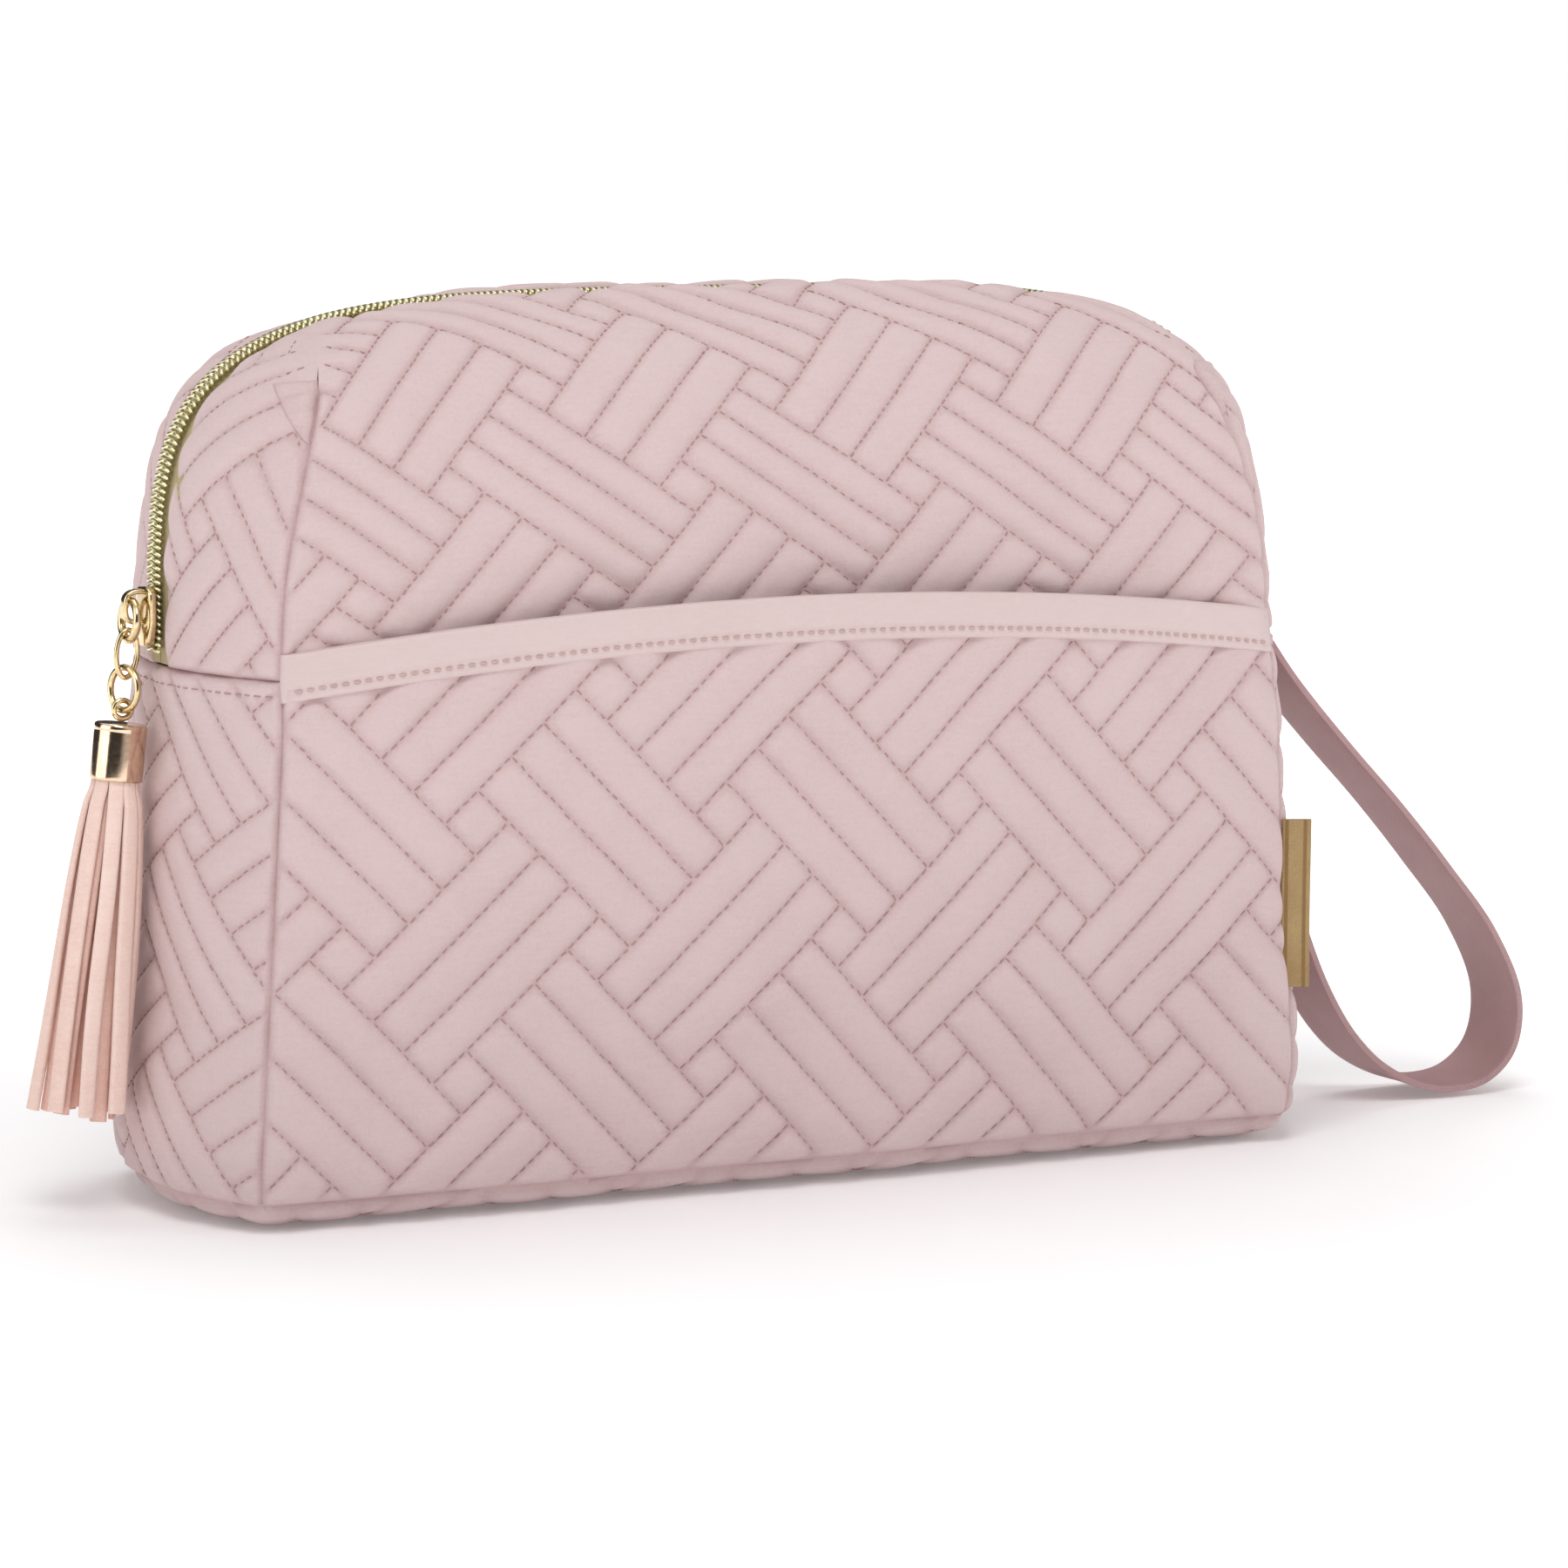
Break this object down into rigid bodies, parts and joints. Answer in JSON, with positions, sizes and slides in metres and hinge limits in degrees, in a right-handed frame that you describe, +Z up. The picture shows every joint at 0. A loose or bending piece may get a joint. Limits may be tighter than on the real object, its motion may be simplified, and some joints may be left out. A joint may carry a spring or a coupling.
{
  "type": "makeup bag",
  "caption": "Quilted fabric makeup bag with a domed zip top, slip pocket on the front, tassel zip pull and a wrist strap loop.",
  "frame": {"origin": "middle of the flat underside of the base", "axes": "+Z up, -Y is the front with the pocket, -X is the zip pull side, +X the strap side"},
  "size_m": [0.3563, 0.0955, 0.1885],
  "materials": {
    "quilted_fabric": "soft brushed satin weave, quilted",
    "lining": "plain lining cloth",
    "binding": "smooth satin binding",
    "zip_tape": "woven zip tape",
    "zip_coil": "metallised coil",
    "gold_metal": "polished light gold plating",
    "suede": "suede",
    "strap": "plain woven strap",
    "label": "woven satin label"
  },
  "bodies": {
    "root": {"bottom_panel": "quilted_fabric", "front_panel": "quilted_fabric", "back_panel": "quilted_fabric", "left_side_panel": "quilted_fabric", "right_side_panel": "quilted_fabric", "body_lining": "lining", "floor_lining": "lining", "front_pocket": "quilted_fabric", "pocket_binding": "binding", "side_label": "label"},
    "mouth_front": {"upper_front_panel": "quilted_fabric", "upper_left_side_front": "quilted_fabric", "upper_right_side_front": "quilted_fabric", "upper_lining_front": "lining", "zipper_tape_front": "zip_tape", "zipper_coil_front": "zip_coil"},
    "mouth_back": {"upper_back_panel": "quilted_fabric", "upper_left_side_back": "quilted_fabric", "upper_right_side_back": "quilted_fabric", "upper_lining_back": "lining", "zipper_tape_back": "zip_tape", "zipper_coil_back": "zip_coil"},
    "slider": {"slider_body": "gold_metal", "slider_bridge": "gold_metal"},
    "pull_ring": {"pull_ring": "gold_metal"},
    "oval_link": {"oval_link": "gold_metal"},
    "round_link": {"round_link": "gold_metal"},
    "tassel": {"tassel_eye": "gold_metal", "tassel_cap": "gold_metal", "fringe_inner_1": "suede", "fringe_inner_2": "suede", "fringe_inner_3": "suede", "fringe_inner_4": "suede", "fringe_outer_1": "suede", "fringe_outer_2": "suede", "fringe_outer_3": "suede", "fringe_outer_4": "suede", "fringe_outer_5": "suede", "fringe_outer_6": "suede", "fringe_outer_7": "suede", "fringe_outer_8": "suede"},
    "strap": {"wrist_strap": "strap"}
  },
  "joints": [
    {"name": "mouth_front_open", "type": "hinge", "parent": "root", "child": "mouth_front", "pos_m": [0, -0.0415, 0.119], "axis": [1, 0, 0], "range_deg": [0, 22]},
    {"name": "mouth_back_open", "type": "hinge", "parent": "root", "child": "mouth_back", "pos_m": [0, 0.0455, 0.119], "axis": [-1, 0, 0], "range_deg": [0, 22]},
    {"name": "slider_travel", "type": "slide", "parent": "root", "child": "slider", "axis": [0, 0, 1], "range_m": [0, 0.022]},
    {"name": "ring_swing", "type": "hinge", "parent": "slider", "child": "pull_ring", "pos_m": [-0.1326, 0, 0.1266], "axis": [0, 1, 0], "range_deg": [0, 150]},
    {"name": "link_swing", "type": "hinge", "parent": "pull_ring", "child": "oval_link", "pos_m": [-0.13332, 0, 0.11863], "axis": [0, 1, 0], "range_deg": [0, 40]},
    {"name": "round_link_sway", "type": "hinge", "parent": "oval_link", "child": "round_link", "pos_m": [-0.13403, 0, 0.11087], "axis": [0.9959, 0, -0.0906], "range_deg": [-35, 35]},
    {"name": "tassel_swing", "type": "hinge", "parent": "round_link", "child": "tassel", "pos_m": [-0.13464, 0, 0.10414], "axis": [0, 1, 0], "range_deg": [0, 60]},
    {"name": "strap_swing", "type": "hinge", "parent": "root", "child": "strap", "pos_m": [0.1285, 0, 0.1125], "axis": [0, -1, 0], "range_deg": [0, 120]}
  ]
}
